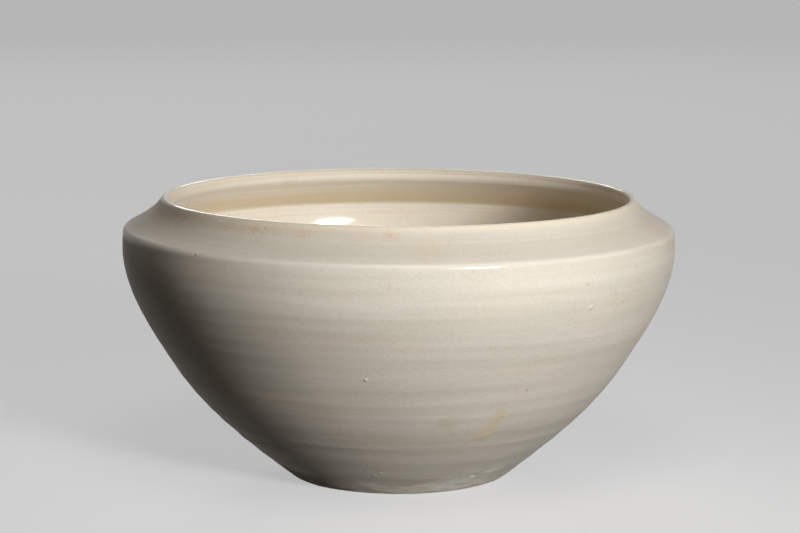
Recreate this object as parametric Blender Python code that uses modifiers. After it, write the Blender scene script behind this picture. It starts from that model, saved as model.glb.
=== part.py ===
"""A wheel-thrown porcelain bowl with a flaring wall, a sharp shoulder and a thin upright lip.

The fired clay body carries two coats of glaze. One is poured inside. The other covers the
outside, laps over the lip and stops at a narrow bare band above the base.
"""

import math

import bpy
from mathutils import Vector
from mathutils.geometry import interpolate_bezier

# Clay body, outside, in metres and degrees
BASE_RADIUS = 0.0466
FOOT_ANGLE = 39.0
BARE_BAND = 0.0012
FLARE_RADIUS = 0.0985
FLARE_HEIGHT = 0.0515
FLARE_ANGLE = 58.0
BELLY_RADIUS = 0.1192
BELLY_HEIGHT = 0.1010
RIDGE_RISE = 0.0072
RIDGE_SET_IN = 0.0004
RIDGE_ROUND = 0.0010
SHOULDER_ANGLE = 27.8
SHOULDER_REACH = 0.0169
NECK_RISE = 0.0130
NECK_ANGLE = 57.6

# Clay body, inside
LIP_WALL = 0.0016
NECK_DROP = 0.0024
NECK_ROUND = 0.0014
CREASE_DROP = 0.0034
CREASE_ROUND = 0.0045
CREASE_ANGLE = 81.0
BELLY_WALL = 0.0040
FLARE_WALL = 0.0052
FLOOR_WALL = 0.0066
FLOOR_RADIUS = 0.0220

# Clay body, underside
STANDING_WIDTH = 0.0090
BASE_HOLLOW = 0.0011
BASE_ROUND = 0.0007

# Glaze coats, each standing a little off the clay and off the other coat
COAT = 0.0005
COAT_CLEARANCE = 0.0003
LIP_LAP = 0.0005
SEAM_CLEARANCE = 0.0003

# Fired colours, as linear red, green and blue, with their roughness
CLAY_COLOUR = (0.62, 0.50, 0.40)
CLAY_ROUGHNESS = 0.75
OUTER_COLOUR = (0.75, 0.69, 0.59)
OUTER_ROUGHNESS = 0.25
INNER_COLOUR = (0.74, 0.67, 0.56)
INNER_ROUGHNESS = 0.22

# Fineness of the turned surfaces
TURN_STEPS = 56
CORNER_STEPS = 3
LIP_STEPS = 4
SHOULDER_STEPS = 4
WALL_STEPS = 5
HOLLOW_STEPS = 2
MERGE_DISTANCE = 0.00001

# A handle of a third of the chord gives an even curve between two tangents
HANDLE_SHARE = 1 / 3
# A quadratic corner drawn as a cubic has its handles two thirds of the way to the corner
CORNER_SHARE = 2 / 3

# Levels and radii that several outlines share
RIDGE_HEIGHT = BELLY_HEIGHT + RIDGE_RISE
CLAY_HEIGHT = RIDGE_HEIGHT + NECK_RISE
LIP_RADIUS = BELLY_RADIUS - SHOULDER_REACH
LIP_BEND = LIP_WALL / 2
MOUTH_RADIUS = LIP_RADIUS - LIP_WALL
OUTER_SEAM_HEIGHT = CLAY_HEIGHT - LIP_BEND - LIP_LAP
INNER_SEAM_HEIGHT = OUTER_SEAM_HEIGHT - SEAM_CLEARANCE
FLOOR_HEIGHT = BASE_HOLLOW + FLOOR_WALL


def heading(degrees):
    """Unit direction in the plane of radius and height."""
    angle = math.radians(degrees)
    return Vector((math.cos(angle), math.sin(angle)))


def sweep(start, start_degrees, end, end_degrees, steps):
    """Even curve that leaves start and reaches end along the given headings."""
    handle = (end - start).length * HANDLE_SHARE
    leave = start + heading(start_degrees) * handle
    reach = end - heading(end_degrees) * handle
    return interpolate_bezier(start, leave, reach, end, steps + 1)


def rounded_corner(corner, before, after, leg):
    """Corner eased over a leg's length towards the points before and after it."""
    start = corner + (before - corner).normalized() * leg
    end = corner + (after - corner).normalized() * leg
    leave = start.lerp(corner, CORNER_SHARE)
    reach = end.lerp(corner, CORNER_SHARE)
    return interpolate_bezier(start, leave, reach, end, CORNER_STEPS + 1)


def parallel(path, distance):
    """Path moved sideways to its left, with mitred corners."""
    sides = []
    for start, end in zip(path, path[1:]):
        along = (end - start).normalized()
        sides.append(Vector((-along.y, along.x)))
    moved = [path[0] + sides[0] * distance]
    for point, side, next_side in zip(path[1:], sides, sides[1:]):
        moved.append(point + (side + next_side) * (distance / (1 + side.dot(next_side))))
    moved.append(path[-1] + sides[-1] * distance)
    return moved


def inside_outline():
    """Clay surface from the middle of the floor up to the glaze seam inside the lip."""
    middle = Vector((0.0, FLOOR_HEIGHT))
    floor_edge = Vector((FLOOR_RADIUS, FLOOR_HEIGHT))
    flare = Vector((FLARE_RADIUS, FLARE_HEIGHT)) + heading(FLARE_ANGLE + 90) * FLARE_WALL
    crease = Vector((BELLY_RADIUS - BELLY_WALL, RIDGE_HEIGHT - CREASE_DROP))
    belly = crease - heading(CREASE_ANGLE) * CREASE_ROUND
    seam = Vector((MOUTH_RADIUS, INNER_SEAM_HEIGHT))
    neck = seam - Vector((0.0, NECK_DROP))

    outline = [middle]
    outline += sweep(floor_edge, 0, flare, FLARE_ANGLE, WALL_STEPS)
    outline += sweep(flare, FLARE_ANGLE, belly, CREASE_ANGLE, WALL_STEPS)[1:]
    outline += rounded_corner(crease, belly, neck, CREASE_ROUND)[1:]
    outline += rounded_corner(neck, crease, seam, NECK_ROUND)
    outline.append(seam)
    return outline


def outside_outline():
    """Clay surface from the glaze seam over the lip and down to the glaze line."""
    seam = Vector((MOUTH_RADIUS, OUTER_SEAM_HEIGHT))
    lip_centre = Vector((LIP_RADIUS - LIP_BEND, CLAY_HEIGHT - LIP_BEND))
    lip_turn = 90 + NECK_ANGLE
    ridge = Vector((BELLY_RADIUS - RIDGE_SET_IN, RIDGE_HEIGHT))
    shoulder = ridge + heading(180 - SHOULDER_ANGLE) * RIDGE_ROUND
    belly = Vector((BELLY_RADIUS, BELLY_HEIGHT))
    flare = Vector((FLARE_RADIUS, FLARE_HEIGHT))

    outline = [seam]
    for step in range(LIP_STEPS + 1):
        outline.append(lip_centre + heading(180 - lip_turn * step / LIP_STEPS) * LIP_BEND)
    outline += sweep(outline[-1], -NECK_ANGLE, shoulder, -SHOULDER_ANGLE, SHOULDER_STEPS)[1:]
    outline += rounded_corner(ridge, shoulder, belly, RIDGE_ROUND)[1:]
    outline += sweep(belly, -90, flare, FLARE_ANGLE - 180, WALL_STEPS)
    outline += sweep(flare, FLARE_ANGLE - 180, glaze_line(), FOOT_ANGLE - 180, WALL_STEPS)[1:]
    return outline


def base_edge():
    """Corner between the bare band and the underside."""
    return Vector((BASE_RADIUS, 0.0))


def glaze_line():
    """Point on the clay, up the bare band, where the outer coat stops."""
    return base_edge() + heading(FOOT_ANGLE) * (BARE_BAND / math.sin(math.radians(FOOT_ANGLE)))


def underside_outline():
    """Eased base edge, flat standing ring and shallow dish to the middle."""
    ring_inside = Vector((BASE_RADIUS - STANDING_WIDTH, 0.0))
    middle = Vector((0.0, BASE_HOLLOW))
    # A dish that is level in the middle rises at its edge at twice its average slope
    edge_rise = math.degrees(math.atan2(2 * BASE_HOLLOW, ring_inside.x))
    outline = rounded_corner(base_edge(), glaze_line(), ring_inside, BASE_ROUND)
    outline += sweep(ring_inside, 180 - edge_rise, middle, 180, HOLLOW_STEPS)
    return outline


def clay_profile():
    """Whole section of the clay, from the floor's middle round to the base's middle."""
    return inside_outline() + outside_outline() + underside_outline()


def coat_profile(clay):
    """Section of a coat over a clay outline: its open face, then back along its seat."""
    face = parallel(clay, COAT_CLEARANCE + COAT)
    seat = parallel(clay, COAT_CLEARANCE)
    return face + seat[::-1]


def fired_surface(name, colour, roughness):
    """Plain opaque ceramic surface."""
    material = bpy.data.materials.new(name)
    material.use_nodes = True
    shader = material.node_tree.nodes["Principled BSDF"]
    shader.inputs["Base Color"].default_value = (*colour, 1.0)
    shader.inputs["Roughness"].default_value = roughness
    shader.inputs["Metallic"].default_value = 0.0
    return material


def turned_piece(name, profile, closed, material, collection):
    """Object turned about Z from a profile drawn at +X."""
    points = [(point.x, 0.0, point.y) for point in profile]
    edges = [(index, index + 1) for index in range(len(points) - 1)]
    if closed:
        edges.append((len(points) - 1, 0))
    mesh = bpy.data.meshes.new(name)
    mesh.from_pydata(points, edges, [])
    mesh.materials.append(material)
    piece = bpy.data.objects.new(name, mesh)
    collection.objects.link(piece)
    turning = piece.modifiers.new("turning", "SCREW")
    turning.axis = "Z"
    turning.angle = math.tau
    turning.steps = TURN_STEPS
    turning.render_steps = TURN_STEPS
    turning.use_smooth_shade = True
    turning.use_merge_vertices = True
    turning.merge_threshold = MERGE_DISTANCE
    return piece


def build():
    """The bowl: its clay body, with both coats of glaze parented to it."""
    for old in list(bpy.data.objects):
        bpy.data.objects.remove(old, do_unlink=True)
    bowl = bpy.data.collections.new("porcelain_bowl")
    bpy.context.scene.collection.children.link(bowl)

    clay = fired_surface("bare_porcelain", CLAY_COLOUR, CLAY_ROUGHNESS)
    ivory = fired_surface("outer_ivory_glaze", OUTER_COLOUR, OUTER_ROUGHNESS)
    warm_ivory = fired_surface("inner_ivory_glaze", INNER_COLOUR, INNER_ROUGHNESS)

    body = turned_piece("porcelain_body", clay_profile(), False, clay, bowl)
    outer = turned_piece("outer_glaze", coat_profile(outside_outline()), True, ivory, bowl)
    inner = turned_piece("inner_glaze", coat_profile(inside_outline()), False, warm_ivory, bowl)
    outer.parent = body
    inner.parent = body


build()
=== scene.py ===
"""Looks of the wheel-thrown porcelain bowl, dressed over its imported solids.

The clay and both coats of glaze are wrapped round the axis from their sections by one node
tree, which puts the throwing rings, the rough foot, the lean of the mouth and the uneven glaze
line in the geometry. A second tree lays pimples and the run of glaze on the wall, and a third
strews grit round the foot.
"""

import math
from collections import namedtuple

import bpy
from mathutils import Matrix, Vector
from mathutils.geometry import interpolate_bezier


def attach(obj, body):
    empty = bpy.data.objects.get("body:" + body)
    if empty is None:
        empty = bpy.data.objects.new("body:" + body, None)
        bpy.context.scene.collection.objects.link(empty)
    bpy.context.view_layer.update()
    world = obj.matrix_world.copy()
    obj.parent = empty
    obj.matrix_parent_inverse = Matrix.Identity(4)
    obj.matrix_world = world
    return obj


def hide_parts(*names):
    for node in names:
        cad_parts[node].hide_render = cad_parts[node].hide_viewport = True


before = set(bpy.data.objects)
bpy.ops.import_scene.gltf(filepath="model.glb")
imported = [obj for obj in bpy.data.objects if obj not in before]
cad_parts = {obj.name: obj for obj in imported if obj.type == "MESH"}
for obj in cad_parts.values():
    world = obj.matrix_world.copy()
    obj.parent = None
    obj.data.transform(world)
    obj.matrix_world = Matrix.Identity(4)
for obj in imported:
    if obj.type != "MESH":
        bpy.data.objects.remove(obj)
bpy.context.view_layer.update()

# Clay body, outside, in metres and degrees
BASE_RADIUS = 0.0466
FOOT_ANGLE = 39.0
BARE_BAND = 0.0012
FLARE_RADIUS = 0.0985
FLARE_HEIGHT = 0.0515
FLARE_ANGLE = 58.0
BELLY_RADIUS = 0.1192
BELLY_HEIGHT = 0.1010
RIDGE_RISE = 0.0072
RIDGE_SET_IN = 0.0004
RIDGE_ROUND = 0.0012
SHOULDER_ANGLE = 27.8
SHOULDER_REACH = 0.0169
NECK_RISE = 0.0130
NECK_ANGLE = 57.6

# Clay body, inside and underneath
LIP_WALL = 0.0016
LIP_LAP = 0.0005
NECK_DROP = 0.0024
NECK_ROUND = 0.0014
CREASE_DROP = 0.0034
CREASE_ROUND = 0.0015
CREASE_ANGLE = 90.5
BELLY_WALL = 0.0040
FLARE_WALL = 0.0052
FLOOR_WALL = 0.0066
FLOOR_RADIUS = 0.0220
STANDING_WIDTH = 0.0090
BASE_HOLLOW = 0.0011
BASE_ROUND = 0.0006
# The bare foot swells to the level of the glaze above it and starts just under its hem
FOOT_SWELL = 0.0006
FOOT_SPREAD = 0.0010
HEM_CLEARANCE = 0.00005

# Levels and radii that several outlines share
RIDGE_HEIGHT = BELLY_HEIGHT + RIDGE_RISE
CLAY_HEIGHT = RIDGE_HEIGHT + NECK_RISE
LIP_RADIUS = BELLY_RADIUS - SHOULDER_REACH
LIP_BEND = LIP_WALL / 2
MOUTH_RADIUS = LIP_RADIUS - LIP_WALL
SEAM_HEIGHT = CLAY_HEIGHT - LIP_BEND - LIP_LAP
FLOOR_HEIGHT = BASE_HOLLOW + FLOOR_WALL
DISH_RADIUS = BASE_RADIUS - STANDING_WIDTH
BARE_RUN = BARE_BAND / math.sin(math.radians(FOOT_ANGLE))

# Glaze: its stand-off from the clay, its seat, and how it thins and wanders at the glaze line
GLAZE_STAND = 0.0008
GLAZE_SEAT = 0.00003
HEM_SHARE = 0.85
HEM_FADE = 0.006
HEM_WAVE = 0.0022
HEM_WAVE_FADE = 2 * HEM_FADE
HEM_WANDER = 3.2
HEM_LEVEL = 0.72

# Throwing rings outside: pitch at the base edge, how fast it falls, heights low and high up
RING_PITCH = 0.013
RING_FALL = 0.06
RING_SHIFT = 0.46
RING_LOW = 0.000085
RING_HIGH = 0.00003
RING_LOW_RUN = 0.030
RING_HIGH_RUN = 0.080
RING_END_FADE = 0.010
# How far the rings stray from level, how they come and go, and how blunt their crests are
RING_STRAY = 1.5
RING_STRAY_GRAIN = (9.0, 9.0, 34.0)
RING_FIT_GRAIN = (11.0, 11.0, 75.0)
RING_BLUNT = 0.005
# Rings inside the bowl, and the paring marks under its base
INNER_RING_LOW = 0.00004
INNER_RING_HIGH = 0.00002
INNER_RING_END = 0.2
PARING_PITCH = 0.0032
PARING_FALL = 0.01
PARING_HEIGHT = 0.00006
# Runs over which rings fade in below the lip, at the seam and at the edges of the dish
LIP_PLAIN = 0.002
LIP_RING_FADE = 0.003
SEAM_RING_FADE = 0.004
DISH_RING_FADE = 0.002

# A low step left by the throwing rib on the shoulder, which fades out between these X at the left
STEP_HEIGHT = 0.1150
STEP_RISE = 0.00013
STEP_WIDTH = 0.0004
STEP_FADE = (-0.06, 0.0)

# Broad unevenness of the wall, and the rough foot
UNEVEN = 0.00035
INNER_UNEVEN = 0.00006
UNEVEN_GRAIN = 30.0
FOOT_LUMPS = 0.0011
FOOT_LUMP_GRAIN = (75.0, 75.0, 330.0)
FOOT_ROUGH_TOP = 0.011

# The mouth sits higher on the left, by this share of the height at the belly's radius
LEAN = 0.005

# Grit on the foot: grains a square metre, how high it goes, sizes and shape of the grains
GRIT_DENSITY = 60000.0
GRIT_TOP = 0.0105
GRIT_SMALLEST = 0.00015
GRIT_LARGEST = 0.00042
GRIT_SEED = 7
GRIT_PATCHES = 45.0
GRAIN_LENGTH = 1.6
GRAIN_HEIGHT = 0.7

# Fineness of the sections, of the turn about the axis and of the blisters
FLOOR_STEPS = 10
INNER_FLARE_STEPS = 48
INNER_BELLY_STEPS = 40
CREASE_STEPS = 10
INNER_SHOULDER_STEPS = 12
NECK_STEPS = 8
SEAM_STEPS = 3
LIP_STEPS = 12
SHOULDER_STEPS = 30
RIDGE_STEPS = 8
BELLY_STEPS = 6
UPPER_WALL_STEPS = 68
LOWER_WALL_STEPS = 110
BAND_STEPS = 4
BASE_STEPS = 6
STANDING_STEPS = 8
DISH_STEPS = 60
TURN_STEPS = 300
DOME_SEGMENTS = 22
DOME_RINGS = 14
MERGE_DISTANCE = 0.000001
SHARP_ANGLE = 40

# A handle of a third of the chord gives an even curve between two tangents
HANDLE_SHARE = 1 / 3
# A quadratic corner drawn as a cubic has its handles two thirds of the way to the corner
CORNER_SHARE = 2 / 3
# The join of the wrapped sheet lies at the back
JOIN_ANGLE = math.pi / 2

# Marks on the outside, by degrees round from the front, right positive, and height on the wall
Blister = namedtuple("Blister", "azimuth height length width rise lean pointed")
BLISTERS = (
    Blister(-7.1, 0.0606, 0.0011, 0.0010, 0.00060, 0, 0),
    Blister(20.6, 0.0953, 0.0012, 0.0010, 0.00030, 20, 0),
    Blister(40.9, 0.0873, 0.0015, 0.0010, 0.00085, 20, 0),
    Blister(-6.7, 0.0126, 0.0013, 0.0010, 0.00032, -35, 0),
    Blister(-9.4, 0.0112, 0.0009, 0.0008, 0.00025, 10, 0),
    Blister(32.7, 0.0079, 0.0017, 0.0007, 0.00060, 12, 0),
    Blister(38.6, 0.0083, 0.0042, 0.0016, 0.00030, 8, 0),
    Blister(25.0, 0.0374, 0.0105, 0.0027, 0.00030, -112, 1),
    Blister(24.3, 0.0315, 0.0044, 0.0027, 0.00050, -152, 0),
)
# How far a blister is sunk in the wall, as a share of its rise
BLISTER_SINK = 0.4

Speck = namedtuple("Speck", "azimuth height radius")
YELLOW_SPOT = Speck(12.5, 0.0392, 0.0035)
DARK_SPECK = Speck(-43.0, 0.1083, 0.0005)
RED_SPECK = Speck(31.3, 0.0527, 0.0005)
BROWN_SPECKS = (
    Speck(39.2, 0.0973, 0.0005),
    Speck(-12.7, 0.0132, 0.0007),
)
TAN_SPECKS = (
    Speck(-1.7, 0.1004, 0.0010),
    Speck(-0.2, 0.0993, 0.0008),
    Speck(47.7, 0.0915, 0.0008),
    Speck(54.3, 0.1010, 0.0008),
    Speck(35.3, 0.1061, 0.0006),
)
Stain = namedtuple("Stain", "specks soft share colour")
STAINS = (
    Stain((YELLOW_SPOT,), 0.9, 0.50, (0.64, 0.55, 0.38)),
    Stain((DARK_SPECK,), 0.6, 0.75, (0.10, 0.075, 0.05)),
    Stain(BROWN_SPECKS, 0.6, 0.40, (0.30, 0.23, 0.16)),
    Stain((RED_SPECK,), 0.6, 0.55, (0.46, 0.22, 0.12)),
    Stain(TAN_SPECKS, 0.9, 0.30, (0.58, 0.46, 0.33)),
)
# Where the rust flecks crowd together, where the glaze blushes and where the foot was scraped
FLECK_CLUSTERS = (
    Speck(-33.0, 0.1186, 0.0070),
    Speck(-41.0, 0.1190, 0.0026),
    Speck(-21.5, 0.1178, 0.0028),
    Speck(-62.0, 0.1190, 0.0060),
    Speck(-1.7, 0.1186, 0.0026),
)
BLUSHES = (
    Speck(-7.4, 0.1192, 0.0042),
    Speck(-1.9, 0.1180, 0.0030),
    Speck(-21.9, 0.1182, 0.0022),
    Speck(6.0, 0.1135, 0.0060),
    Speck(72.0, 0.1120, 0.0090),
)
FOOT_SCRAPES = (
    Speck(33.5, 0.0078, 0.0060),
    Speck(40.0, 0.0088, 0.0050),
    Speck(22.0, 0.0050, 0.0060),
)
# The yellow run of glaze, which widens from its top to its end
RUN_TOP = Speck(27.4, 0.0465, 0.0022)
RUN_END = Speck(24.0, 0.0312, 0.0036)

# Heights between which looks change; a band rises over its first range and falls over its second
LIP_WARMTH = (0.1185, 0.1212)
LIP_GLOSS = (0.1211, 0.1217)
NECK_DULLNESS = (0.1150, 0.1172)
BELLY_GLOSS = (0.060, 0.100)
RIDGE_BAND = ((0.1055, 0.1085), (0.1115, 0.1090))
FLECK_BELT = ((0.1162, 0.1184), (0.1208, 0.1196))
# Inside, under the shoulder above the crease, where brown shade is painted
SHADE_UNDER_SHOULDER = ((0.1030, 0.1052), (0.1162, 0.1066))
# Flecks thicken between these X, from the middle to the left
FLECK_SIDE = (0.0, -0.055)
# The thin glaze of the foot has a ragged top, and a toasted edge at the glaze line
FOOT_RAGGED = 0.012
FOOT_THIN = (0.0085, 0.0035)
FOOT_EDGE = (0.0022, 0.0002)
# An ochre stain inside at the left, placed in coordinates that are drawn taller
STAIN_TALL = 1.4
STAIN_PLACE = (-0.0535, 0.090, 0.165)
STAIN_FADE = (0.008, 0.002)

# Colours, as linear red, green and blue; the ivories are plain, greyish and rosy
OUTER_IVORIES = ((0.760, 0.698, 0.597), (0.732, 0.680, 0.585), (0.745, 0.662, 0.555))
INNER_IVORIES = ((0.850, 0.783, 0.672), (0.832, 0.768, 0.662), (0.840, 0.747, 0.621))
LIP_IVORY = (0.80, 0.715, 0.575)
RIDGE_IVORY = (0.82, 0.765, 0.665)
FRECKLE_TAN = (0.63, 0.50, 0.36)
RUST = (0.58, 0.33, 0.12)
RUST_HAZE_AND_SHADE = (0.70, 0.56, 0.42)
BLUSH_ROSE = (0.72, 0.56, 0.44)
RUN_YELLOW = (0.77, 0.645, 0.445)
CHALK_AND_PAINTED_LIGHT = (0.95, 0.88, 0.76)
PATCH_WHITE = (0.97, 0.92, 0.82)
SCRAPE_WHITE = (0.98, 0.94, 0.86)
SCORE_BROWN = (0.56, 0.49, 0.41)
EDGE_TOAST = (0.94, 0.78, 0.62)
STAIN_OCHRE = (0.66, 0.53, 0.30)
SHADE_BROWN = (0.745, 0.592, 0.365)
STREAK_BROWN = (0.66, 0.54, 0.39)
CLAY_CREAMS = ((0.82, 0.72, 0.60), (0.90, 0.82, 0.71))
CLAY_TOAST = (0.84, 0.64, 0.46)

# Noise patterns of the finishes, with their scales round the bowl and up it
Pattern = namedtuple("Pattern", "across up detail roughness shift", defaults=(0.5, 0.0))
CLOUDS = Pattern(22.0, 34.0, 3.0)
ROSY_CLOUDS = Pattern(16.0, 70.0, 4.0, 0.6, 3.0)
GLAZE_BANDS = Pattern(5.0, 150.0, 4.0, 0.6, 7.0)
PEPPER = Pattern(1500.0, 1500.0, 2.0, 0.7)
FRECKLES = Pattern(600.0, 600.0, 2.0, 0.6)
FRECKLED_PLACES = Pattern(20.0, 45.0, 2.0, 0.5, 4.0)
FLECKS = Pattern(1450.0, 1450.0, 1.0)
FLECKED_PLACES = Pattern(75.0, 75.0, 2.0)
HAZY_PLACES = Pattern(40.0, 40.0, 2.0)
FOOT_RAGS = Pattern(60.0, 60.0, 4.0, 0.6)
FOOT_SCORES = Pattern(90.0, 520.0, 4.0, 0.65, 5.0)
FOOT_PATCHES = Pattern(70.0, 160.0, 3.0, 0.5, 9.0)
OUTER_PEEL = Pattern(420.0, 420.0, 3.0)
OUTER_LINES = Pattern(12.0, 800.0, 3.0)
INNER_PEEL = Pattern(350.0, 350.0, 2.0)
INNER_LINES = Pattern(6.0, 1100.0, 3.0)
INNER_STREAKS = Pattern(7.0, 900.0, 3.0, 0.6, 2.0)
CLAY_GRAIN = Pattern(240.0, 240.0, 4.0, 0.6)
CLAY_TOASTING = Pattern(38.0, 38.0, 3.0)

# Depth of the finest relief
GLAZE_RELIEF = 0.00006
CLAY_RELIEF = 0.0002

# Softboxes, two of them with grids; azimuth 0 is over the camera, and right is positive
Softbox = namedtuple("Softbox", "name azimuth elevation distance width height power spread tint aim")
WHITE = (1.0, 1.0, 1.0)
WARM_WHITE = (1.0, 0.945, 0.86)
BOWL_MIDDLE = (0.0, 0.0, 0.08)
KEY_AIM = (-0.034, -0.021, 0.07)
SOFTBOXES = (
    Softbox("key_softbox", 31.6, 13.9, 1.15, 0.363, 0.157, 0.635, 40, WHITE, KEY_AIM),
    Softbox("overhead_softbox", 4, 58, 1.0, 0.5, 0.5, 1.84, 180, WARM_WHITE, BOWL_MIDDLE),
    Softbox("back_softbox", -173, 23, 5.0, 2.6, 0.9, 6.4, 60, WHITE, BOWL_MIDDLE),
)

# Floor and backdrop, as they are shown and as they light the bowl
FLOOR_REACH = 14
FLOOR_SHOWN = (0.40, 0.40, 0.40)
FLOOR_GLOW = (0.46, 0.46, 0.465)
FLOOR_BOUNCE = (0.052, 0.042, 0.033)
BACKDROP_GLOW = 0.48
FILL_STRENGTH = 0.012
FILL_TINT = (1.0, 0.76, 0.52)

# Camera, in metres, degrees and millimetres
CAMERA_SIDE = 0.0006
CAMERA_BACK = 1.0666
CAMERA_HEIGHT = 0.2532
CAMERA_PITCH = 8.68
CAMERA_LENS = 110.96
CAMERA_SENSOR = 36
CAMERA_NEAR = 0.05


# Sections of the clay and the coats

def heading(degrees):
    """Unit direction in the plane of radius and height."""
    angle = math.radians(degrees)
    return Vector((math.cos(angle), math.sin(angle)))


def sweep(start, start_degrees, end, end_degrees, steps):
    """Even curve that leaves start and reaches end along the given headings."""
    handle = (end - start).length * HANDLE_SHARE
    leave = start + heading(start_degrees) * handle
    reach = end - heading(end_degrees) * handle
    return interpolate_bezier(start, leave, reach, end, steps + 1)


def rounded_corner(corner, before, after, leg, steps):
    """Corner eased over a leg's length towards the points before and after it."""
    start = corner + (before - corner).normalized() * leg
    end = corner + (after - corner).normalized() * leg
    leave = start.lerp(corner, CORNER_SHARE)
    reach = end.lerp(corner, CORNER_SHARE)
    return interpolate_bezier(start, leave, reach, end, steps + 1)


def straight(start, end, steps):
    """Straight line in even steps."""
    return [start.lerp(end, step / steps) for step in range(steps + 1)]


def sides_of(path):
    """Mitred left-hand normals of a path."""
    edges = []
    for start, end in zip(path, path[1:]):
        along = (end - start).normalized()
        edges.append(Vector((-along.y, along.x)))
    sides = [edges[0]]
    for edge, next_edge in zip(edges, edges[1:]):
        sides.append((edge + next_edge) / (1 + edge.dot(next_edge)))
    return sides + [edges[-1]]


def end_to_end(*paths):
    """One path from stretches that each start where the one before ends."""
    whole = list(paths[0])
    for path in paths[1:]:
        whole += path[1:]
    return whole


def inside_outline():
    """Clay surface from the middle of the floor up to the glaze seam inside the lip."""
    middle = Vector((0.0, FLOOR_HEIGHT))
    floor_edge = Vector((FLOOR_RADIUS, FLOOR_HEIGHT))
    flare = Vector((FLARE_RADIUS, FLARE_HEIGHT)) + heading(FLARE_ANGLE + 90) * FLARE_WALL
    crease = Vector((BELLY_RADIUS - BELLY_WALL, RIDGE_HEIGHT - CREASE_DROP))
    belly = crease - heading(CREASE_ANGLE) * CREASE_ROUND
    seam = Vector((MOUTH_RADIUS, SEAM_HEIGHT))
    neck = seam - Vector((0.0, NECK_DROP))
    turn = rounded_corner(crease, belly, neck, CREASE_ROUND, CREASE_STEPS)
    under = rounded_corner(neck, crease, seam, NECK_ROUND, NECK_STEPS)
    return end_to_end(
        straight(middle, floor_edge, FLOOR_STEPS),
        sweep(floor_edge, 0, flare, FLARE_ANGLE, INNER_FLARE_STEPS),
        sweep(flare, FLARE_ANGLE, belly, CREASE_ANGLE, INNER_BELLY_STEPS),
        turn,
        straight(turn[-1], under[0], INNER_SHOULDER_STEPS),
        under,
        straight(under[-1], seam, SEAM_STEPS),
    )


def base_edge():
    """Corner between the bare band and the underside."""
    return Vector((BASE_RADIUS, 0.0))


def glaze_line():
    """Point on the clay, up the bare band, where the outer coat stops."""
    return base_edge() + heading(FOOT_ANGLE) * BARE_RUN


def outside_outline():
    """Clay surface from the glaze seam over the lip and down to the glaze line."""
    seam = Vector((MOUTH_RADIUS, SEAM_HEIGHT))
    lip_centre = Vector((LIP_RADIUS - LIP_BEND, CLAY_HEIGHT - LIP_BEND))
    lip_turn = 90 + NECK_ANGLE
    ridge = Vector((BELLY_RADIUS - RIDGE_SET_IN, RIDGE_HEIGHT))
    shoulder = ridge + heading(180 - SHOULDER_ANGLE) * RIDGE_ROUND
    belly = Vector((BELLY_RADIUS, BELLY_HEIGHT))
    flare = Vector((FLARE_RADIUS, FLARE_HEIGHT))
    down_flare = FLARE_ANGLE - 180
    lip = [seam]
    for step in range(LIP_STEPS + 1):
        lip.append(lip_centre + heading(180 - lip_turn * step / LIP_STEPS) * LIP_BEND)
    corner = rounded_corner(ridge, shoulder, belly, RIDGE_ROUND, RIDGE_STEPS)
    return end_to_end(
        lip,
        sweep(lip[-1], -NECK_ANGLE, shoulder, -SHOULDER_ANGLE, SHOULDER_STEPS),
        corner,
        straight(corner[-1], belly, BELLY_STEPS),
        sweep(belly, -90, flare, down_flare, UPPER_WALL_STEPS),
        sweep(flare, down_flare, glaze_line(), FOOT_ANGLE - 180, LOWER_WALL_STEPS),
    )


def underside_outline():
    """Bare band, eased base edge, standing ring and shallow dish to the middle."""
    ring_inside = Vector((DISH_RADIUS, 0.0))
    middle = Vector((0.0, BASE_HOLLOW))
    # A dish that is level in the middle rises at its edge at twice its average slope
    edge_rise = math.degrees(math.atan2(2 * BASE_HOLLOW, ring_inside.x))
    band_top = glaze_line() + heading(FOOT_ANGLE - 90) * FOOT_SWELL
    band_top -= heading(FOOT_ANGLE) * HEM_CLEARANCE
    foot_corner = base_edge() + Vector((FOOT_SPREAD, 0.0))
    edge = rounded_corner(foot_corner, band_top, ring_inside, BASE_ROUND, BASE_STEPS)
    return end_to_end(
        straight(band_top, edge[0], BAND_STEPS),
        edge,
        straight(edge[-1], ring_inside, STANDING_STEPS),
        sweep(ring_inside, 180 - edge_rise, middle, 180, DISH_STEPS),
    )


def eased(value):
    """Smooth step from none to one."""
    value = min(max(value, 0.0), 1.0)
    return value * value * (3 - 2 * value)


def thinned(points, first, skip, last):
    """Every few points of a path, with all of the first and last ones kept."""
    return points[:first] + points[first:-last:skip] + points[-last:]


def keep_marks(mesh, marks):
    """Stores lists of numbers or vectors on a mesh's points."""
    for label, values in marks.items():
        if isinstance(values[0], tuple):
            layer = mesh.attributes.new(label, "FLOAT_VECTOR", "POINT")
            layer.data.foreach_set("vector", [number for value in values for number in value])
        else:
            layer = mesh.attributes.new(label, "FLOAT", "POINT")
            layer.data.foreach_set("value", values)


class Section:
    """Points of a turned piece, each with its run along the wall and its shares of the marks."""

    def __init__(self):
        self.points = []
        self.marks = {"side": [], "run": [], "ring": [], "hem": [], "rough": []}

    def add(self, point, side, run, ring=0.0, hem=0.0, rough=0.0):
        """Adds a point with its side, its run and its shares."""
        self.points.append((point.x, 0.0, point.y))
        values = ((side.x, 0.0, side.y), run, ring, hem, rough)
        for label, value in zip(self.marks, values):
            self.marks[label].append(value)

    def thread(self, name):
        """Mesh of the section's points and edges that the wrapping tree reads."""
        edges = [(index, index + 1) for index in range(len(self.points) - 1)]
        mesh = bpy.data.meshes.new(name)
        mesh.from_pydata(self.points, edges, [])
        keep_marks(mesh, self.marks)
        return mesh


def runs_along(path, first):
    """Distance of each point along a path, starting at the given first run."""
    runs = [first]
    for start, end in zip(path, path[1:]):
        runs.append(runs[-1] + (end - start).length)
    return runs


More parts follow.
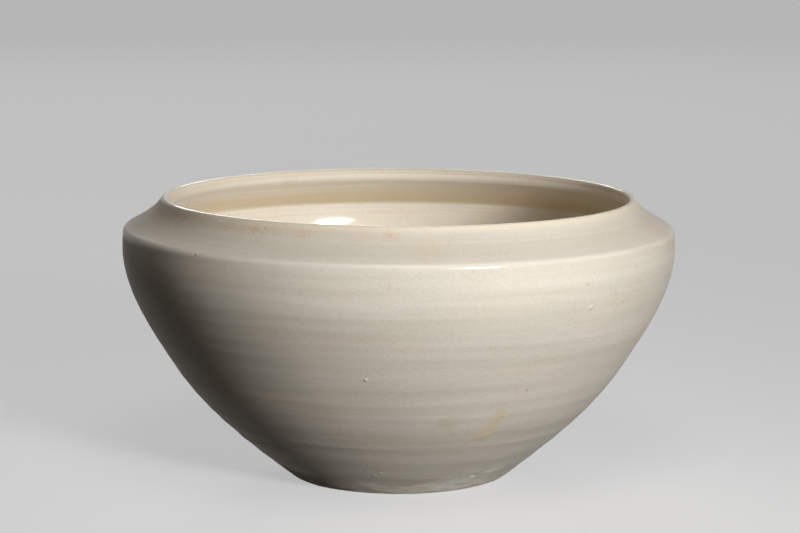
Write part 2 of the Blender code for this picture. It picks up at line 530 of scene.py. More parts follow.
def runs_from_base(path):
    """Distance of each point from the base edge, measured up the outside of the wall."""
    return runs_along(path[::-1], BARE_RUN)[::-1]


def run_at(height):
    """Run from the base edge up the outside of the clay to a height."""
    clay = outside_outline()
    for point, run in zip(clay[::-1], runs_from_base(clay)[::-1]):
        if point.y >= height:
            return run


def outer_coat_section():
    """Face of the outer coat from the seam to its hem, and back along its seat."""
    clay = outside_outline()
    sides = sides_of(clay)
    runs = runs_from_base(clay)
    wall = list(zip(clay, sides, runs))
    section = Section()
    for point, side, run in wall:
        over_hem = run - BARE_RUN
        thick = HEM_SHARE + (1 - HEM_SHARE) * eased(over_hem / HEM_FADE)
        below_lip = CLAY_HEIGHT - point.y
        ring = eased((below_lip - LIP_PLAIN) / LIP_RING_FADE)
        hem = 1 - eased(over_hem / HEM_WAVE_FADE)
        rough = 1 - eased(point.y / FOOT_ROUGH_TOP)
        section.add(point + side * (GLAZE_STAND * thick), side, run, ring, hem, rough)
    for point, side, run in thinned(wall[::-1], 4, 6, 4):
        hem = 1 - eased((run - BARE_RUN) / HEM_WAVE_FADE)
        section.add(point + side * GLAZE_SEAT, side, run, hem=hem)
    section.add(clay[0] + sides[0] * GLAZE_STAND, sides[0], runs[0])
    return section


def inner_coat_section():
    """Face of the inner coat from the middle of the floor to the seam, and back along its seat."""
    clay = inside_outline()
    runs = runs_along(clay, 0.0)
    wall = list(zip(clay, sides_of(clay), runs))
    section = Section()
    for point, side, run in wall:
        ring = eased((runs[-1] - run) / SEAM_RING_FADE)
        section.add(point + side * GLAZE_STAND, side, run, ring)
    for point, side, run in thinned(wall[::-1], 4, 6, 1):
        section.add(point + side * GLAZE_SEAT, side, run)
    return section


def clay_section():
    """Whole clay body, plain where glaze hides it, with paring marks in the dish of its base."""
    hidden = thinned(inside_outline(), 0, 4, 1) + thinned(outside_outline()[1:], 0, 4, 8)
    whole = hidden + underside_outline()
    section = Section()
    for index, (point, side) in enumerate(zip(whole, sides_of(whole))):
        ring = 0.0
        if index >= len(hidden) and point.x < DISH_RADIUS:
            ring = eased((DISH_RADIUS - point.x) / DISH_RING_FADE) * eased(point.x / DISH_RING_FADE)
        section.add(point, side, point.x, ring)
    return section


def on_wall(azimuth, height):
    """Point on the outer glaze, and the direction straight out of it there."""
    clay = outside_outline()
    sides = sides_of(clay)[::-1]
    face = [point + side * GLAZE_STAND for point, side in zip(clay[::-1], sides)]
    turn = math.radians(azimuth)
    for below, above, side in zip(face, face[1:], sides):
        if below.y <= height <= above.y:
            radius = below.x + (above.x - below.x) * (height - below.y) / (above.y - below.y)
            break
    round_to = Vector((math.sin(turn), -math.cos(turn), 0.0))
    place = round_to * radius + Vector((0.0, 0.0, height))
    return place, (round_to * side.x + Vector((0.0, 0.0, side.y))).normalized()


# Nodes

def feed(node, feeds):
    """Feeds a node's sockets with values or other sockets."""
    for socket, value in feeds.items():
        if isinstance(value, bpy.types.NodeSocket):
            node.id_data.links.new(value, node.inputs[socket])
        else:
            node.inputs[socket].default_value = value


def put(tree, kind, feeds=None, **settings):
    """Adds a node, sets its properties and feeds its sockets."""
    node = tree.nodes.new(kind)
    for name, value in settings.items():
        setattr(node, name, value)
    feed(node, feeds or {})
    return node


def made(kind, feeds, **settings):
    """First output of a new node in the tree of the sockets that feed it."""
    tree = next(value.id_data for value in feeds.values() if isinstance(value, bpy.types.NodeSocket))
    return put(tree, kind, feeds, **settings).outputs[0]


def sums(operation, *values, clamp=False):
    """Result of a sum on numbers."""
    return made("ShaderNodeMath", dict(enumerate(values)), operation=operation, use_clamp=clamp)


def product(first, *others):
    """Numbers multiplied together."""
    for other in others:
        first = sums("MULTIPLY", first, other)
    return first


def vectors(operation, *values):
    """Result of a sum on vectors that gives a vector."""
    return made("ShaderNodeVectorMath", dict(enumerate(values)), operation=operation)


def measure(operation, *values):
    """Result of a sum on vectors that gives a number."""
    return vectors(operation, *values).node.outputs["Value"]


def scaled(direction, distance):
    """Direction times a distance."""
    return made("ShaderNodeVectorMath", {0: direction, "Scale": distance}, operation="SCALE")


def pushed(place, direction, distance):
    """Place moved along a direction."""
    return vectors("ADD", place, scaled(direction, distance))


def xyz(x=0.0, y=0.0, z=0.0):
    """Vector from its three parts."""
    return made("ShaderNodeCombineXYZ", {0: x, 1: y, 2: z})


def parts_of(vector):
    """Sockets of a vector's three parts."""
    return made("ShaderNodeSeparateXYZ", {0: vector}).node.outputs


def ramp(value, low, high, to_low=0.0, to_high=1.0):
    """Smooth step of a value from one range to another."""
    feeds = {"Value": value, "From Min": low, "From Max": high, "To Min": to_low, "To Max": to_high}
    return made("ShaderNodeMapRange", feeds, interpolation_type="SMOOTHSTEP")


def noise(where, scale, detail=2.0, roughness=0.5):
    """Noise between none and one."""
    feeds = {"Vector": where, "Scale": scale, "Detail": detail, "Roughness": roughness}
    return made("ShaderNodeTexNoise", feeds)


def centred(value):
    """Noise that goes as far below none as above it."""
    return sums("SUBTRACT", value, 0.5)


# Geometry trees

def node_tree(name, inputs):
    """Empty geometry tree with named inputs after its geometry."""
    tree = bpy.data.node_groups.new(name, "GeometryNodeTree")
    tree.interface.new_socket("Geometry", in_out="INPUT", socket_type="NodeSocketGeometry")
    for label, kind in inputs:
        tree.interface.new_socket(label, in_out="INPUT", socket_type="NodeSocket" + kind)
    tree.interface.new_socket("Geometry", in_out="OUTPUT", socket_type="NodeSocketGeometry")
    return tree, put(tree, "NodeGroupInput").outputs


def finish_tree(geometry, material):
    """Gives the geometry its material and hands it out of the tree."""
    dressed = made("GeometryNodeSetMaterial", {"Geometry": geometry, "Material": material})
    put(dressed.id_data, "NodeGroupOutput", {"Geometry": dressed})


def realized(geometry):
    """Geometry with its instances made real."""
    return made("GeometryNodeRealizeInstances", {"Geometry": geometry})


def moved(geometry, place):
    """Geometry with each point put in its place."""
    return made("GeometryNodeSetPosition", {"Geometry": geometry, "Position": place})


def position(tree):
    """Place of each point."""
    return put(tree, "GeometryNodeInputPosition").outputs[0]


def normal(tree):
    """Direction straight out of the surface at each point."""
    return put(tree, "GeometryNodeInputNormal").outputs[0]


def mark_of(tree, label, kind="FLOAT"):
    """Mark that a point holds under a label."""
    return put(tree, "GeometryNodeInputNamedAttribute", {"Name": label}, data_type=kind).outputs[0]


def placed(name, data):
    """New object of the scene."""
    thing = bpy.data.objects.new(name, data)
    bpy.context.scene.collection.objects.link(thing)
    return thing


def made_piece(name, thread, tree, values, slot, *nodes):
    """Runs a tree on a mesh, keeps the result as a plain mesh object and fixes it to the bowl."""
    maker = placed(name + "_maker", thread)
    modifier = maker.modifiers.new(tree.name, "NODES")
    modifier.node_group = tree
    for item in tree.interface.items_tree:
        if item.in_out == "INPUT" and item.name in values:
            modifier[item.identifier] = values[item.name]
    seen = maker.evaluated_get(bpy.context.evaluated_depsgraph_get())
    mesh = bpy.data.meshes.new_from_object(seen)
    maker.modifiers.remove(modifier)
    bpy.data.objects.remove(maker)
    mesh.name = name
    piece = placed(name, mesh)
    mesh.shade_smooth()
    mesh.set_sharp_from_angle(angle=math.radians(SHARP_ANGLE))
    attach(piece, "root")
    if nodes:
        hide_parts(*nodes)
    return piece


def wrapping_sheet(tree, given):
    """Sheet to wrap round the axis, with each point's row in the section and its direction."""
    count = made("GeometryNodeAttributeDomainSize", {"Geometry": given["Geometry"]})
    columns = sums("ADD", given["Steps"], 1.0)
    sheet = made("GeometryNodeMeshGrid", {"Vertices X": columns, "Vertices Y": count})
    index = put(tree, "GeometryNodeInputIndex").outputs[0]
    row = sums("MODULO", index, count)
    column = sums("FLOOR", sums("DIVIDE", sums("ADD", index, 0.5), count))
    turn = sums("DIVIDE", column, given["Steps"])
    angle = sums("MULTIPLY_ADD", turn, math.tau, JOIN_ANGLE)
    return sheet, row, sums("COSINE", angle), sums("SINE", angle)


def throwing_rings(given, place, run):
    """Rise and fall of the finger grooves up the wall."""
    # Rings crowd together up the wall, so their phase is a logarithm of the run
    climb = sums("DIVIDE", product(run, given["Ring Fall"]), given["Ring Pitch"])
    turns = sums("LOGARITHM", sums("SUBTRACT", 1.0, climb), math.e)
    phase = sums("DIVIDE", turns, product(given["Ring Fall"], -1.0))
    stray = noise(vectors("MULTIPLY", place, RING_STRAY_GRAIN), 1.0)
    drift = product(centred(stray), RING_STRAY)
    beat = sums("ADD", sums("SUBTRACT", phase, given["Ring Shift"]), drift)
    # Each finger groove is scooped out, with a sharp crest between it and the next
    groove = sums("SINE", product(beat, math.pi))
    scoop = sums("SQRT", sums("MULTIPLY_ADD", groove, groove, RING_BLUNT))
    wave = sums("MULTIPLY_ADD", scoop, -2.0, 1.0)
    height = ramp(run, RING_LOW_RUN, RING_HIGH_RUN, given["Ring Low"], given["Ring High"])
    fitful = noise(vectors("MULTIPLY", place, RING_FIT_GRAIN), 1.0)
    strength = ramp(fitful, 0.30, 0.68, 0.15, 1.45)
    fade_start = sums("SUBTRACT", given["Ring End"], RING_END_FADE)
    ending = ramp(run, given["Ring End"], fade_start)
    return product(wave, height, strength, ending)


def shoulder_step(given, place, run):
    """Rise of the low step on the shoulder."""
    step_end = sums("ADD", given["Step Run"], given["Step Width"])
    risen = ramp(run, given["Step Run"], step_end)
    right = ramp(parts_of(place)["X"], *STEP_FADE)
    return product(risen, given["Step Rise"], right)


def leaned(given, place):
    """Place tipped sideways, more the higher it is."""
    parts = parts_of(place)
    tip = product(sums("DIVIDE", parts["X"], BELLY_RADIUS), given["Lean"])
    height = product(parts["Z"], sums("SUBTRACT", 1.0, tip))
    return xyz(parts["X"], parts["Y"], height)


def thrown_wall_tree():
    """Wraps a section round the axis and gives the wall its rings, rough foot, hem and lean."""
    sizes = ("Ring Pitch", "Ring Fall", "Ring Shift", "Ring Low", "Ring High", "Ring End", "Step Run",
             "Step Rise", "Step Width", "Uneven", "Foot Lumps", "Hem Wave", "Lean")
    inputs = [("Steps", "Int"), *((label, "Float") for label in sizes), ("Material", "Material")]
    tree, given = node_tree("thrown_wall", inputs)
    sheet, row, cosine, sine = wrapping_sheet(tree, given)

    def at_row(field, kind="FLOAT"):
        """What a field of the section holds at each point's row."""
        feeds = {"Geometry": given["Geometry"], "Value": field, "Index": row}
        return made("GeometryNodeSampleIndex", feeds, data_type=kind)

    def wrapped(field):
        """Flat vectors of the section, turned about the axis."""
        flat = parts_of(at_row(field, "FLOAT_VECTOR"))
        x = product(flat["X"], cosine)
        y = product(flat["X"], sine)
        return xyz(x, y, flat["Z"])

    place = wrapped(position(tree))
    side = wrapped(mark_of(tree, "side", "FLOAT_VECTOR"))
    run = at_row(mark_of(tree, "run"))

    rings = throwing_rings(given, place, run)
    step = shoulder_step(given, place, run)
    uneven = product(centred(noise(place, UNEVEN_GRAIN, 1.0)), given["Uneven"])
    relief = sums("ADD", sums("ADD", rings, step), uneven)
    thrown = product(relief, at_row(mark_of(tree, "ring")))
    lump_place = vectors("MULTIPLY", place, FOOT_LUMP_GRAIN)
    lumps = centred(noise(lump_place, 1.0, 4.0, 0.62))
    rough = product(lumps, given["Foot Lumps"], at_row(mark_of(tree, "rough")))
    place = pushed(place, side, sums("ADD", thrown, rough))

    # The glaze line wanders up and down the wall
    foot = heading(FOOT_ANGLE)
    uphill = xyz(product(cosine, foot.x), product(sine, foot.x), foot.y)
    around = xyz(cosine, sine)
    wander = sums("SUBTRACT", noise(around, HEM_WANDER, 4.0, 0.6), HEM_LEVEL)
    climb = product(wander, at_row(mark_of(tree, "hem")), given["Hem Wave"])
    place = leaned(given, pushed(place, uphill, climb))

    wall = moved(sheet, place)
    closed = made("GeometryNodeMergeByDistance", {"Geometry": wall, "Distance": MERGE_DISTANCE})
    finish_tree(realized(closed), given["Material"])
    return tree


def dome(tree, pointed):
    """Flat disc with a share of rise on each point, domed on top and sunk underneath."""
    feeds = {"Segments": DOME_SEGMENTS, "Rings": DOME_RINGS, "Radius": 1.0}
    ball = put(tree, "GeometryNodeMeshUVSphere", feeds).outputs[0]
    parts = parts_of(position(tree))
    level = made("ShaderNodeClamp", {"Value": parts["Z"], "Min": -1.0, "Max": 1.0})
    climb = sums("ARCSINE", sums("ABSOLUTE", level))
    reach = sums("SUBTRACT", 1.0, sums("DIVIDE", climb, math.pi / 2))
    around = vectors("NORMALIZE", xyz(parts["X"], parts["Y"]))
    flat = scaled(around, reach)
    hump = sums("SUBTRACT", 1.0, product(reach, reach))
    on_top = made("FunctionNodeCompare", {0: level, 1: 0.0}, operation="GREATER_THAN")
    sunk = product(hump, -BLISTER_SINK)
    feeds = {"Switch": on_top, "False": sunk, "True": product(hump, hump)}
    share = made("GeometryNodeSwitch", feeds, input_type="FLOAT")
    if pointed:
        ends = parts_of(flat)
        narrowing = ramp(ends["X"], -1.0, 0.8, 0.3, 1.0)
        flat = xyz(ends["X"], product(ends["Y"], narrowing))
        share = product(share, narrowing)
    feeds = {"Geometry": ball, "Name": "share", "Value": share}
    kept = made("GeometryNodeStoreNamedAttribute", feeds, data_type="FLOAT", domain="POINT")
    return moved(kept, flat)


def blister_tree():
    """Lays a dome at each marked point and bends it to the wall."""
    tree, given = node_tree("blisters_on_wall", (("Wall", "Object"), ("Material", "Material")))
    pimple = made("GeometryNodeGeometryToInstance", {0: dome(tree, False)})
    drop = made("GeometryNodeGeometryToInstance", {0: dome(tree, True)})
    joined = put(tree, "GeometryNodeJoinGeometry")
    # Joined geometry comes out in the reverse of the order in which it was linked
    for shape in (drop, pimple):
        tree.links.new(shape, joined.inputs[0])
    turn = made("FunctionNodeEulerToRotation", {0: mark_of(tree, "turn", "FLOAT_VECTOR")})
    laid = made("GeometryNodeInstanceOnPoints", {
        "Points": given["Geometry"],
        "Instance": joined.outputs[0],
        "Pick Instance": True,
        "Instance Index": mark_of(tree, "pointed", "INT"),
        "Rotation": turn,
        "Scale": mark_of(tree, "spread", "FLOAT_VECTOR"),
    })
    wall = put(tree, "GeometryNodeObjectInfo", {"Object": given["Wall"]}).outputs["Geometry"]
    nearest = made("GeometryNodeProximity", {"Geometry": wall}, target_element="FACES")
    feeds = {"Mesh": wall, "Value": normal(tree)}
    out = made("GeometryNodeSampleNearestSurface", feeds, data_type="FLOAT_VECTOR")
    rise = product(mark_of(tree, "share"), mark_of(tree, "rise"))
    place = pushed(nearest, out, rise)
    finish_tree(moved(realized(laid), place), given["Material"])
    return tree


def blister_points():
    """Points of the blisters, with how each one is turned, spread and raised."""
    places = []
    marks = {"turn": [], "spread": [], "rise": [], "pointed": []}
    for mark in BLISTERS:
        place, out = on_wall(mark.azimuth, mark.height)
        level = Vector((0.0, 0.0, 1.0)).cross(out).normalized()
        uphill = out.cross(level)
        lean = math.radians(mark.lean)
        along = level * math.cos(lean) + uphill * math.sin(lean)
        turn = Matrix((along, out.cross(along), out)).transposed()
        places.append(place)
        marks["turn"].append(tuple(turn.to_euler()))
        marks["spread"].append((mark.length, mark.width, 1.0))
        marks["rise"].append(mark.rise)
        marks["pointed"].append(float(mark.pointed))
    mesh = bpy.data.meshes.new("blister_points")
    mesh.from_pydata(places, [], [])
    keep_marks(mesh, marks)
    return mesh


def foot_grit_tree():
    """Strews small sunk grains over the rough foot of the wall."""
    tree, given = node_tree("foot_grit", (
        ("Density", "Float"), ("Top", "Float"), ("Smallest", "Float"), ("Largest", "Float"),
        ("Seed", "Int"), ("Material", "Material")))
    place = position(tree)
    outward = sums("GREATER_THAN", measure("DOT_PRODUCT", normal(tree), place), 0.0)
    climb = sums("DIVIDE", parts_of(place)["Z"], given["Top"])
    low = sums("SUBTRACT", 1.0, climb, clamp=True)
    patch = ramp(noise(place, GRIT_PATCHES), 0.42, 0.66)
    strewn = put(tree, "GeometryNodeDistributePointsOnFaces", {
        "Mesh": given["Geometry"],
        "Density": product(given["Density"], outward, low, patch),
        "Seed": given["Seed"],
    }).outputs
    grain = put(tree, "GeometryNodeMeshIcoSphere", {"Radius": 1.0, "Subdivisions": 2}).outputs[0]
    # Sockets 2 and 3 are the float lowest and highest values
    feeds = {2: given["Smallest"], 3: given["Largest"], "Seed": given["Seed"]}
    size = put(tree, "FunctionNodeRandomValue", feeds, data_type="FLOAT").outputs[1]
    length = product(size, GRAIN_LENGTH)
    laid = made("GeometryNodeInstanceOnPoints", {
        "Points": strewn["Points"],
        "Instance": grain,
        "Rotation": strewn["Rotation"],
        "Scale": xyz(length, size, product(size, GRAIN_HEIGHT)),
    })
    finish_tree(realized(laid), given["Material"])
    return tree


# Materials

def emptied_nodes(owner):
    """Node tree of a material or a world, with nothing in it."""
    owner.use_nodes = True
    owner.node_tree.nodes.clear()
    return owner.node_tree


def opaque(colour):
    """Colour with its alpha, or a socket as it is."""
    if isinstance(colour, bpy.types.NodeSocket):
        return colour
    return (*colour, 1.0)


def colour_mix(share, first, second, mode="MIX"):
    """First colour with a share of the second."""
    # Sockets 6 and 7 are the colours to mix, and output 2 is the mixed colour
    feeds = {0: share, 6: opaque(first), 7: opaque(second)}
    return made("ShaderNodeMix", feeds, data_type="RGBA", blend_type=mode).node.outputs[2]


def layered(colour, over, *shares):
    """Colour with another laid over it by the product of the shares."""
    return colour_mix(product(*shares), colour, over)


def new_material(name):
    """New material, with its shader and the coordinates of the bowl."""
    material = bpy.data.materials.new(name)
    tree = emptied_nodes(material)
    shader = put(tree, "ShaderNodeBsdfPrincipled")
    put(tree, "ShaderNodeOutputMaterial", {"Surface": shader.outputs[0]})
    where = put(tree, "ShaderNodeTexCoord").outputs["Object"]
    return material, shader, where


def stretched(where, across, up, shift=0.0):
    """Coordinates that draw a pattern out round the bowl."""
    feeds = {"Vector": where, "Location": (shift, shift, shift), "Scale": (across, across, up)}
    return made("ShaderNodeMapping", feeds)


def patterned(where, pattern):
    """Noise of a named pattern."""
    drawn = stretched(where, pattern.across, pattern.up, pattern.shift)
    return noise(drawn, 1.0, pattern.detail, pattern.roughness)


def band(height, rises, falls):
    """Share that rises over one range of heights and falls over another."""
    return product(ramp(height, *rises), ramp(height, *falls))


def bumped(relief, strength, depth):
    """Normal of a fine relief."""
    return made("ShaderNodeBump", {"Strength": strength, "Distance": depth, "Height": relief})


def spots(where, specks, soft):
    """Share of round spots at the given marks on the wall."""
    total = None
    for speck in specks:
        centre = on_wall(speck.azimuth, speck.height)[0]
        gap = measure("DISTANCE", where, tuple(centre))
        share = ramp(gap, speck.radius * (1 + soft), speck.radius * (1 - soft))
        total = share if total is None else sums("MAXIMUM", total, share)
    return total


def streak(where, top, end):
    """Share of a streak that widens from its top to its end."""
    start = on_wall(top.azimuth, top.height)[0]
    along = on_wall(end.azimuth, end.height)[0] - start
    gone = vectors("SUBTRACT", where, tuple(start))
    ahead = measure("DOT_PRODUCT", gone, tuple(along))
    share = sums("DIVIDE", ahead, along.length_squared, clamp=True)
    nearest = pushed(tuple(start), tuple(along), share)
    gap = measure("DISTANCE", where, nearest)
    width = ramp(share, 0.0, 1.0, top.radius, end.radius)
    inside = sums("SUBTRACT", 1.0, sums("DIVIDE", gap, width))
    return product(ramp(inside, -0.65, 0.70), ramp(share, 0.0, 0.24))


def cloudy_ivory(where, ivories):
    """Ivory that drifts to grey and rose in clouds and level bands, with fine pepper."""
    ivory, greyish, rosy = ivories
    clouds = ramp(patterned(where, CLOUDS), 0.38, 0.62)
    colour = colour_mix(clouds, ivory, greyish)
    rosy_clouds = ramp(patterned(where, ROSY_CLOUDS), 0.50, 0.70, 0.0, 0.6)
    colour = layered(colour, rosy, rosy_clouds)
    bands = patterned(where, GLAZE_BANDS)
    banding = ramp(bands, 0.32, 0.68, -0.065, 0.04)
    pepper = ramp(patterned(where, PEPPER), 0.35, 0.65, -0.055, 0.035)
    shade = sums("ADD", banding, pepper)
    tone = sums("ADD", shade, 1.0)
    # Blue fades faster than red and green, so darker glaze is also warmer
    blue = sums("ADD", product(shade, 1.35), 1.0)
    toned = made("ShaderNodeCombineColor", {0: tone, 1: tone, 2: blue})
    return colour_mix(1.0, colour, toned, "MULTIPLY"), bands


def rust_under_lip(where, colour):
    """Adds rust-orange flecks in a broken belt under the lip, most of them at the left, and a brown
    haze there that is partly rust and partly painted shade.
    """
    parts = parts_of(where)
    belt = band(parts["Z"], *FLECK_BELT)
    left = ramp(parts["X"], *FLECK_SIDE, 0.12, 1.0)
    flecks = ramp(patterned(where, FLECKS), 0.54, 0.62)
    broken = ramp(patterned(where, FLECKED_PLACES), 0.40, 0.64, 0.0, 0.55)
    clusters = spots(where, FLECK_CLUSTERS, 0.8)
    crowded = sums("MAXIMUM", clusters, product(left, broken))
    colour = layered(colour, RUST, belt, flecks, crowded, 0.80)
    # Brown haze at the left under the lip: partly rust, partly painted shade of the darker left side
    hazy_rust_and_shade = ramp(patterned(where, HAZY_PLACES), 0.35, 0.65)
    colour = layered(colour, RUST_HAZE_AND_SHADE, belt, left, hazy_rust_and_shade, 0.40)
    return layered(colour, BLUSH_ROSE, spots(where, BLUSHES, 0.9), 0.35)


def thin_foot(where, colour):
    """Adds the thin, scraped glaze of the foot, its chalky pale partly painted light; also gives the
    foot's share and its scores.
    """
    rags = product(centred(patterned(where, FOOT_RAGS)), FOOT_RAGGED)
    ragged = sums("ADD", parts_of(where)["Z"], rags)
    foot = ramp(ragged, *FOOT_THIN)
    scores = patterned(where, FOOT_SCORES)
    # Chalky pale over the foot: partly the thin scraped glaze, partly painted light that lifts the
    # dark, down-facing foot
    colour = layered(colour, CHALK_AND_PAINTED_LIGHT, foot, ramp(scores, 0.62, 0.38, 0.55, 1.0))
    colour = layered(colour, SCORE_BROWN, foot, ramp(scores, 0.56, 0.70), 0.40)
    patches = ramp(patterned(where, FOOT_PATCHES), 0.50, 0.60)
    colour = layered(colour, PATCH_WHITE, foot, patches, 0.9)
    scraped = spots(where, FOOT_SCRAPES, 0.9)
    colour = layered(colour, SCRAPE_WHITE, scraped, ramp(scores, 0.60, 0.44), 0.85)
    colour = layered(colour, EDGE_TOAST, ramp(ragged, *FOOT_EDGE), 0.5)
    return colour, foot, scores


def outer_ivory_glaze():
    """Satin ivory of the outside, with its rust, its thin foot and its marks."""
    material, shader, where = new_material("outer_ivory_glaze")
    height = parts_of(where)["Z"]
    colour, bands = cloudy_ivory(where, OUTER_IVORIES)

    # The glaze is warmer over the lip, as it is inside
    colour = layered(colour, LIP_IVORY, ramp(height, *LIP_WARMTH))

    # Faint tan freckles, thick in some places and thin in others
    freckles = ramp(patterned(where, FRECKLES), 0.57, 0.67)
    freckled = ramp(patterned(where, FRECKLED_PLACES), 0.40, 0.62, 0.1, 1.0)
    colour = layered(colour, FRECKLE_TAN, freckles, freckled, 0.32)

    # Glaze drawn thin and pale over the ridge
    ridge = band(height, *RIDGE_BAND)
    colour = layered(colour, RIDGE_IVORY, ridge, 0.35)

    colour = rust_under_lip(where, colour)
    colour, foot, scores = thin_foot(where, colour)
    run = streak(where, RUN_TOP, RUN_END)
    colour = layered(colour, RUN_YELLOW, run, 0.80)
    for stain in STAINS:
        spotted = spots(where, stain.specks, stain.soft)
        colour = layered(colour, stain.colour, spotted, stain.share)

    rough = sums("MULTIPLY_ADD", centred(bands), 0.16, 0.52)
    peel = product(patterned(where, OUTER_PEEL), 0.5)
    lines = product(patterned(where, OUTER_LINES), 0.8)
    relief = sums("ADD", sums("ADD", peel, lines), product(scores, foot, 3.0))
    # The lip and the ridge kept the smoothest glaze
    lip_gloss = ramp(height, *LIP_GLOSS, 0.0, 0.6)
    belly_gloss = ramp(height, *BELLY_GLOSS, 0.0, 0.06)
    gloss = sums("ADD", sums("MULTIPLY_ADD", ridge, 0.50, belly_gloss), lip_gloss)
    feed(shader, {
        "Base Color": colour,
        "Roughness": sums("ADD", rough, product(foot, 0.2)),
        "Normal": bumped(relief, 0.4, GLAZE_RELIEF),
        "Specular IOR Level": 0.06,
        "Coat Weight": gloss,
        "Coat Roughness": sums("MULTIPLY_ADD", ridge, 0.06, 0.12),
    })
    return material


def inner_ivory_glaze():
    """Glossier, warmer ivory of the inside, with brown shade painted under the shoulder."""
    material, shader, where = new_material("inner_ivory_glaze")
    height = parts_of(where)["Z"]
    colour, bands = cloudy_ivory(where, INNER_IVORIES)
    taller = stretched(where, 1.0, STAIN_TALL)
    gap = measure("DISTANCE", taller, STAIN_PLACE)
    colour = layered(colour, STAIN_OCHRE, ramp(gap, *STAIN_FADE, 0.0, 0.30))
    # Brown shade painted on the inside of the shoulder, which faces down, above the crease
    colour = layered(colour, SHADE_BROWN, band(height, *SHADE_UNDER_SHOULDER), 0.72)
    streaks = ramp(patterned(where, INNER_STREAKS), 0.45, 0.70, 0.0, 0.42)
    colour = layered(colour, STREAK_BROWN, streaks)

    peel = product(patterned(where, INNER_PEEL), 0.3)
    relief = sums("ADD", patterned(where, INNER_LINES), peel)
    feed(shader, {
        "Base Color": colour,
        "Roughness": sums("MULTIPLY_ADD", centred(bands), 0.12, 0.46),
        "Normal": bumped(relief, 0.35, GLAZE_RELIEF),
        "Specular IOR Level": 0.25,
        # The neck inside the lip is duller than the wall below it
        "Coat Weight": ramp(height, *NECK_DULLNESS, 0.55, 0.06),
        "Coat Roughness": 0.085,
    })
    return material


def bare_porcelain():
    """Matt fired clay of the foot and the base, toasted in places."""
    material, shader, where = new_material("bare_porcelain")
    grain = patterned(where, CLAY_GRAIN)
    colour = colour_mix(ramp(grain, 0.3, 0.7), *CLAY_CREAMS)
    toast = ramp(patterned(where, CLAY_TOASTING), 0.48, 0.70, 0.0, 0.55)
    feed(shader, {
        "Base Color": layered(colour, CLAY_TOAST, toast),
        "Roughness": ramp(grain, 0.3, 0.7, 0.72, 0.88),
        "Normal": bumped(grain, 0.5, CLAY_RELIEF),
    })
    return material


# Pieces

def dress_bowl():
    """Makes the clay, both coats, the blisters and the grit."""
    outer = outer_ivory_glaze()
    inner = inner_ivory_glaze()
    clay = bare_porcelain()
    walls = thrown_wall_tree()
    outer_sizes = {
        "Steps": TURN_STEPS, "Ring Pitch": RING_PITCH, "Ring Fall": RING_FALL, "Ring Shift": RING_SHIFT,
        "Ring Low": RING_LOW, "Ring High": RING_HIGH, "Ring End": run_at(RIDGE_HEIGHT),
        "Step Run": run_at(STEP_HEIGHT), "Step Rise": STEP_RISE, "Step Width": STEP_WIDTH,
        "Uneven": UNEVEN, "Foot Lumps": FOOT_LUMPS, "Hem Wave": HEM_WAVE, "Lean": LEAN,
        "Material": outer,
    }
    inner_sizes = {
        **outer_sizes, "Ring Low": INNER_RING_LOW, "Ring High": INNER_RING_HIGH,
        "Ring End": INNER_RING_END, "Step Rise": 0.0, "Uneven": INNER_UNEVEN, "Material": inner,
    }
    clay_sizes = {
        **outer_sizes, "Ring Pitch": PARING_PITCH, "Ring Fall": PARING_FALL, "Ring Low": PARING_HEIGHT,
        "Ring High": PARING_HEIGHT, "Step Rise": 0.0, "Uneven": 0.0, "Material": clay,
    }
    grit_sizes = {
        "Density": GRIT_DENSITY, "Top": GRIT_TOP, "Smallest": GRIT_SMALLEST, "Largest": GRIT_LARGEST,
        "Seed": GRIT_SEED, "Material": outer,
    }
    coat = made_piece("outer_coat", outer_coat_section().thread("outer_section"), walls,
                      outer_sizes, "outer_ivory_glaze", "outer_glaze")
    made_piece("inner_coat", inner_coat_section().thread("inner_section"), walls,
               inner_sizes, "inner_ivory_glaze", "inner_glaze")
    made_piece("clay_body", clay_section().thread("clay_section"), walls,
               clay_sizes, "bare_porcelain", "porcelain_body")
    made_piece("glaze_blisters", blister_points(), blister_tree(),
               {"Wall": coat, "Material": outer}, "outer_ivory_glaze")
    made_piece("foot_grit", coat.data, foot_grit_tree(), grit_sizes, "outer_ivory_glaze")


# Floor, lights and camera

def shown_rays(tree):
    """One for rays that show the stage as it looks, and none for those that light the bowl."""
    path = put(tree, "ShaderNodeLightPath").outputs
    seen = sums("ADD", path["Is Camera Ray"], path["Is Glossy Ray"])
    return sums("ADD", seen, path["Is Transmission Ray"], clamp=True)


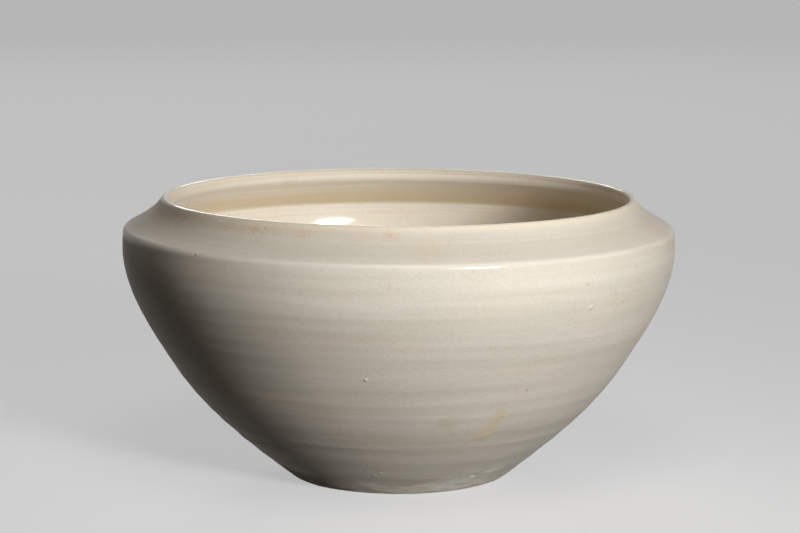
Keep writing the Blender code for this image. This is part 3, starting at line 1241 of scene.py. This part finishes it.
def pale_floor():
    """Plain pale floor that keeps the bowl's shadow."""
    mesh = bpy.data.meshes.new("floor")
    sides = ((-1, -1), (1, -1), (1, 1), (-1, 1))
    mesh.from_pydata([(x * FLOOR_REACH, y * FLOOR_REACH, 0) for x, y in sides], [], [(0, 1, 2, 3)])
    floor = placed("floor", mesh)
    material = bpy.data.materials.new("pale_floor")
    tree = emptied_nodes(material)
    shown = shown_rays(tree)
    colour = colour_mix(shown, FLOOR_BOUNCE, FLOOR_SHOWN)
    matt = made("ShaderNodeBsdfDiffuse", {"Color": colour})
    glow = made("ShaderNodeEmission", {"Color": opaque(FLOOR_GLOW), "Strength": shown})
    both = made("ShaderNodeAddShader", {0: matt, 1: glow})
    put(tree, "ShaderNodeOutputMaterial", {"Surface": both})
    mesh.materials.append(material)


def soft_lamp(box):
    """Hangs a softbox round the bowl's middle and points it at its aim."""
    lamp = bpy.data.lights.new(box.name, "AREA")
    lamp.shape = "ELLIPSE"
    lamp.size = box.width
    lamp.size_y = box.height
    lamp.energy = box.power
    lamp.color = box.tint
    lamp.spread = math.radians(box.spread)
    stand = placed(box.name, lamp)
    turn = math.radians(box.azimuth)
    rise = math.radians(box.elevation)
    level = Vector((math.sin(turn), -math.cos(turn), 0.0))
    out = level * math.cos(rise) + Vector((0.0, 0.0, math.sin(rise)))
    stand.location = Vector(BOWL_MIDDLE) + out * box.distance
    stand.rotation_euler = (stand.location - Vector(box.aim)).to_track_quat("Z", "Y").to_euler()


def studio():
    """Softboxes, and a world that is a pale backdrop and a faint warm fill."""
    for box in SOFTBOXES:
        soft_lamp(box)
    world = bpy.data.worlds.new("studio")
    tree = emptied_nodes(world)
    shown = shown_rays(tree)
    tint = colour_mix(shown, FILL_TINT, WHITE)
    strength = sums("MULTIPLY_ADD", shown, BACKDROP_GLOW, FILL_STRENGTH)
    back = made("ShaderNodeBackground", {"Color": tint, "Strength": strength})
    put(tree, "ShaderNodeOutputWorld", {"Surface": back})
    bpy.context.scene.world = world


def camera():
    """Camera at the photograph's viewing angle."""
    lens = bpy.data.cameras.new("camera")
    lens.lens = CAMERA_LENS
    lens.sensor_width = CAMERA_SENSOR
    lens.sensor_fit = "HORIZONTAL"
    lens.clip_start = CAMERA_NEAR
    stand = placed("camera", lens)
    stand.location = (CAMERA_SIDE, -CAMERA_BACK, CAMERA_HEIGHT)
    stand.rotation_euler = (math.radians(90 - CAMERA_PITCH), 0, 0)
    bpy.context.scene.camera = stand


dress_bowl()
pale_floor()
studio()
camera()
bpy.context.scene.view_settings.view_transform = "Standard"
